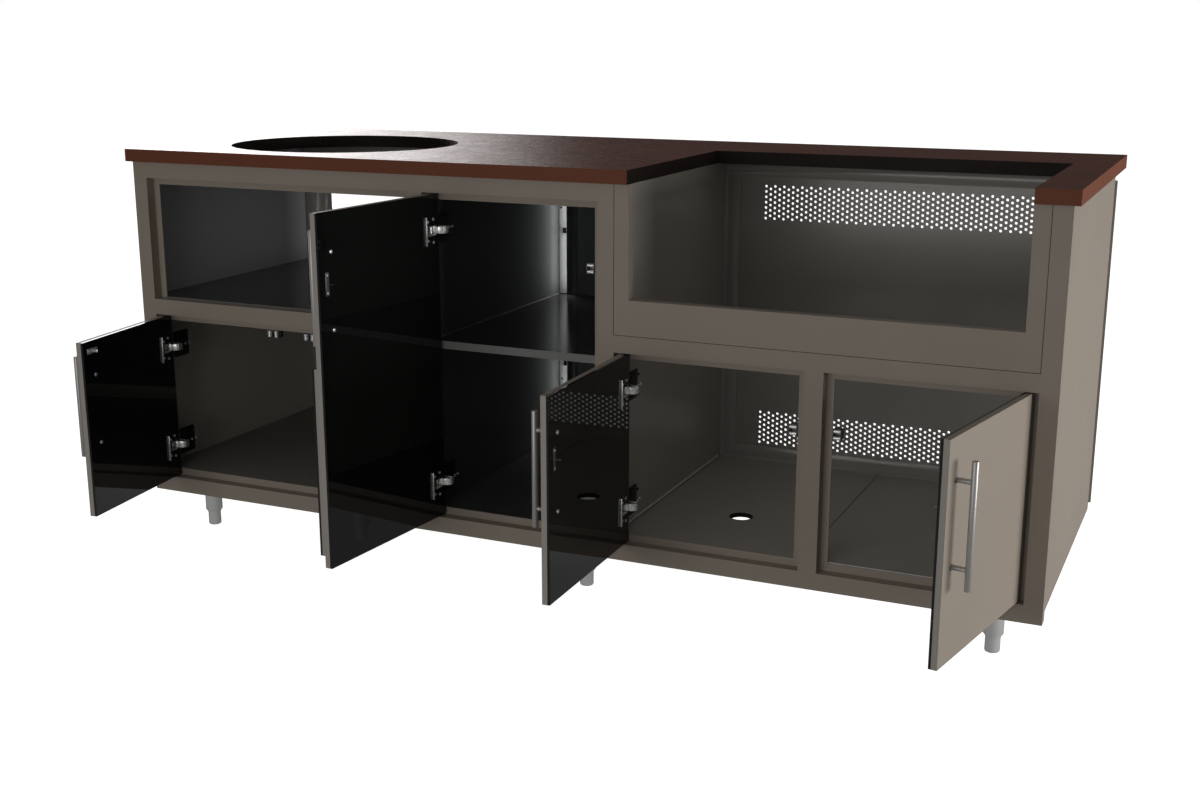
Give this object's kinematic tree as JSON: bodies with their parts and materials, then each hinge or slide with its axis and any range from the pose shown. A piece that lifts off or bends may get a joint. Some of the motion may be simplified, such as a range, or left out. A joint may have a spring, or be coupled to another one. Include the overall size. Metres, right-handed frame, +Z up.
{
  "type": "outdoor kitchen island",
  "caption": "Powder coated outdoor kitchen island: counter cut out for a kamado and a drop-in grill, cabinets with hinged doors, and levelling legs.",
  "frame": {"origin": "middle of the footprint of the pose with the doors open, on the ground under the feet", "axes": "+X along the front from left to right, +Y from the front to the back, +Z up"},
  "size_m": [2.105, 1.1658, 0.9144],
  "materials": {
    "counter_paint": "glossy hammered copper brown powder coat",
    "body_paint": "fine textured taupe powder coat",
    "inner_paint": "dark satin powder coat",
    "handle_steel": "brushed along its length",
    "hinge_steel": "bright nickel plate",
    "leg_steel": "turned and brushed"
  },
  "bodies": {
    "root": {"countertop": "counter_paint", "front_frame": "body_paint", "grill_surround": "body_paint", "left_side_panel": "body_paint", "right_side_panel": "body_paint", "left_divider": "inner_paint", "right_divider": "inner_paint", "base_panel": "inner_paint", "kamado_shelf": "inner_paint", "middle_shelf": "inner_paint", "rear_frame": "inner_paint", "left_back_panel": "body_paint", "vented_back_panel": "body_paint", "left_upper_hinge_arm": "hinge_steel", "left_lower_hinge_arm": "hinge_steel", "left_pair_upper_hinge_arm": "hinge_steel", "left_pair_lower_hinge_arm": "hinge_steel", "tall_upper_hinge_arm": "hinge_steel", "tall_lower_hinge_arm": "hinge_steel", "right_upper_hinge_arm": "hinge_steel", "right_lower_hinge_arm": "hinge_steel", "far_right_upper_hinge_arm": "hinge_steel", "far_right_lower_hinge_arm": "hinge_steel", "left_catch": "hinge_steel", "left_pair_catch": "hinge_steel", "tall_catch": "hinge_steel", "right_catch": "hinge_steel", "far_right_catch": "hinge_steel", "front_left_leg": "leg_steel", "rear_left_leg": "leg_steel", "front_middle_leg": "leg_steel", "rear_middle_leg": "leg_steel", "front_right_leg": "leg_steel", "rear_right_leg": "leg_steel"},
    "left_door": {"left_door": "body_paint", "left_handle": "handle_steel", "left_upper_hinge_cup": "hinge_steel", "left_lower_hinge_cup": "hinge_steel"},
    "left_pair_door": {"left_pair_door": "body_paint", "left_pair_handle": "handle_steel", "left_pair_upper_hinge_cup": "hinge_steel", "left_pair_lower_hinge_cup": "hinge_steel"},
    "tall_door": {"tall_door": "body_paint", "tall_handle": "handle_steel", "tall_upper_hinge_cup": "hinge_steel", "tall_lower_hinge_cup": "hinge_steel"},
    "right_door": {"right_door": "body_paint", "right_handle": "handle_steel", "right_upper_hinge_cup": "hinge_steel", "right_lower_hinge_cup": "hinge_steel"},
    "far_right_door": {"far_right_door": "body_paint", "far_right_handle": "handle_steel", "far_right_upper_hinge_cup": "hinge_steel", "far_right_lower_hinge_cup": "hinge_steel"},
    "front_left_foot": {"front_left_foot": "leg_steel"},
    "rear_left_foot": {"rear_left_foot": "leg_steel"},
    "front_middle_foot": {"front_middle_foot": "leg_steel"},
    "rear_middle_foot": {"rear_middle_foot": "leg_steel"},
    "front_right_foot": {"front_right_foot": "leg_steel"},
    "rear_right_foot": {"rear_right_foot": "leg_steel"}
  },
  "joints": [
    {"name": "left_door_hinge", "type": "hinge", "parent": "root", "child": "left_door", "pos_m": [-0.987, -0.19813, 0.3351], "axis": [0, 0, -1], "range_deg": [-82.5, 12.5]},
    {"name": "left_pair_door_hinge", "type": "hinge", "parent": "root", "child": "left_pair_door", "pos_m": [-0.329, -0.19813, 0.3351], "axis": [0, 0, 1], "range_deg": [-89.4, 0]},
    {"name": "tall_door_hinge", "type": "hinge", "parent": "root", "child": "tall_door", "pos_m": [-0.259, -0.19813, 0.4936], "axis": [0, 0, -1], "range_deg": [-94.3, 0.7]},
    {"name": "right_door_hinge", "type": "hinge", "parent": "root", "child": "right_door", "pos_m": [0.182, -0.19813, 0.3416], "axis": [0, 0, -1], "range_deg": [-88.7, 6.3]},
    {"name": "far_right_door_hinge", "type": "hinge", "parent": "root", "child": "far_right_door", "pos_m": [0.987, -0.19813, 0.3416], "axis": [0, 0, 1], "range_deg": [-79, 16]},
    {"name": "front_left_foot_slide", "type": "slide", "parent": "root", "child": "front_left_foot", "axis": [0, 0, -1], "range_m": [0, 0.025]},
    {"name": "rear_left_foot_slide", "type": "slide", "parent": "root", "child": "rear_left_foot", "axis": [0, 0, -1], "range_m": [0, 0.025]},
    {"name": "front_middle_foot_slide", "type": "slide", "parent": "root", "child": "front_middle_foot", "axis": [0, 0, -1], "range_m": [0, 0.025]},
    {"name": "rear_middle_foot_slide", "type": "slide", "parent": "root", "child": "rear_middle_foot", "axis": [0, 0, -1], "range_m": [0, 0.025]},
    {"name": "front_right_foot_slide", "type": "slide", "parent": "root", "child": "front_right_foot", "axis": [0, 0, -1], "range_m": [0, 0.025]},
    {"name": "rear_right_foot_slide", "type": "slide", "parent": "root", "child": "rear_right_foot", "axis": [0, 0, -1], "range_m": [0, 0.025]}
  ]
}
